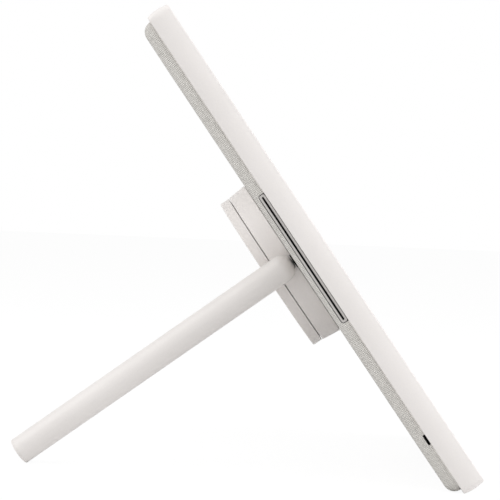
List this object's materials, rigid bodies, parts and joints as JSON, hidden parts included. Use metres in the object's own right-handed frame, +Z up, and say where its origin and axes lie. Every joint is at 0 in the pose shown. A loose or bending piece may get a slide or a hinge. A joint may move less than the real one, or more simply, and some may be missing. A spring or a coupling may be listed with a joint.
{
  "type": "smart display",
  "caption": "Leaning smart display with a white frame, a woven cloth back, a round turning hub and a folding round leg.",
  "frame": {"origin": "on the table, below the middle of the standing display's bounding box", "axes": "+Z up, the screen faces -Y and leans back towards +Y, +X is the viewer's right when facing the screen"},
  "size_m": [0.179, 0.2227, 0.2178],
  "materials": {
    "white_plastic": "fine satin",
    "clear_glass": "polished",
    "white_film": "gloss behind the glass",
    "screen_black": "gloss",
    "stamped_alloy": "stamped, plain",
    "dark_screw": "black zinc",
    "grey_plastic": "moulded matt",
    "cloth": "woven",
    "black_mesh": "matt black",
    "black_plastic": "moulded matt",
    "black_metal": "semi-matt",
    "black_rubber": "matt",
    "circuit_board": "solder resist",
    "tinned_steel": "tinned",
    "turned_steel": "turned",
    "low_friction_plastic": "plain moulded",
    "white_coated_metal": "satin powder coat",
    "grey_felt": "pressed felt",
    "grey_rubber": "matt"
  },
  "bodies": {
    "display": {"front_frame": "white_plastic", "cover_glass": "clear_glass", "bezel_mask": "white_film", "lcd_panel": "screen_black", "chassis_plate": "stamped_alloy", "chassis_screws": "dark_screw", "rear_housing": "grey_plastic", "fabric_cover": "cloth", "housing_screws": "dark_screw", "vent_bezel": "white_plastic", "vent_mesh": "black_mesh", "mic_port": "black_plastic", "control_bezel": "white_plastic", "side_speaker": "black_plastic", "side_driver": "black_plastic", "bass_driver": "black_metal", "bass_cone": "black_rubber", "main_board": "circuit_board", "shield_can": "tinned_steel", "heat_spreader": "stamped_alloy", "board_screws": "dark_screw", "camera_module": "black_plastic", "switch_board": "circuit_board", "turntable_spindle": "turned_steel", "spindle_screws": "dark_screw", "thrust_washer": "low_friction_plastic", "friction_spring": "turned_steel", "retainer_nut": "turned_steel"},
    "hub": {"hub_housing": "white_plastic", "hub_cap": "white_plastic", "glide_ring": "grey_felt", "tip_guard": "black_rubber", "hinge_bracket": "turned_steel", "bracket_screws": "dark_screw", "power_board": "circuit_board", "power_socket": "tinned_steel"},
    "leg": {"stand_leg": "white_coated_metal", "foot_cap": "grey_rubber", "hinge_pin": "turned_steel", "stop_cam": "turned_steel", "hinge_spring": "turned_steel", "pin_nut": "turned_steel", "hinge_washer": "low_friction_plastic"},
    "volume_up": {"volume_up_button": "white_plastic"},
    "volume_down": {"volume_down_button": "white_plastic"},
    "privacy": {"privacy_slider": "white_plastic", "lens_shutter": "white_plastic"}
  },
  "joints": [
    {"name": "hub_turn", "type": "hinge", "parent": "display", "child": "hub", "pos_m": [0, -0.013, 0.09656], "axis": [0, 0.8085, -0.5885], "range_deg": [0, 90]},
    {"name": "leg_fold", "type": "hinge", "parent": "hub", "child": "leg", "pos_m": [-0.0515, -0.01518, 0.09815], "axis": [-1, 0, 0], "range_deg": [0, 88.9]},
    {"name": "volume_up_press", "type": "slide", "parent": "display", "child": "volume_up", "axis": [-1, 0, 0], "range_m": [0, 0.0005], "stiffness_N_per_m": 1000},
    {"name": "volume_down_press", "type": "slide", "parent": "display", "child": "volume_down", "axis": [-1, 0, 0], "range_m": [0, 0.0005], "stiffness_N_per_m": 1000},
    {"name": "privacy_slide", "type": "slide", "parent": "display", "child": "privacy", "axis": [0, -0.5885, -0.8085], "range_m": [0, 0.008]}
  ]
}
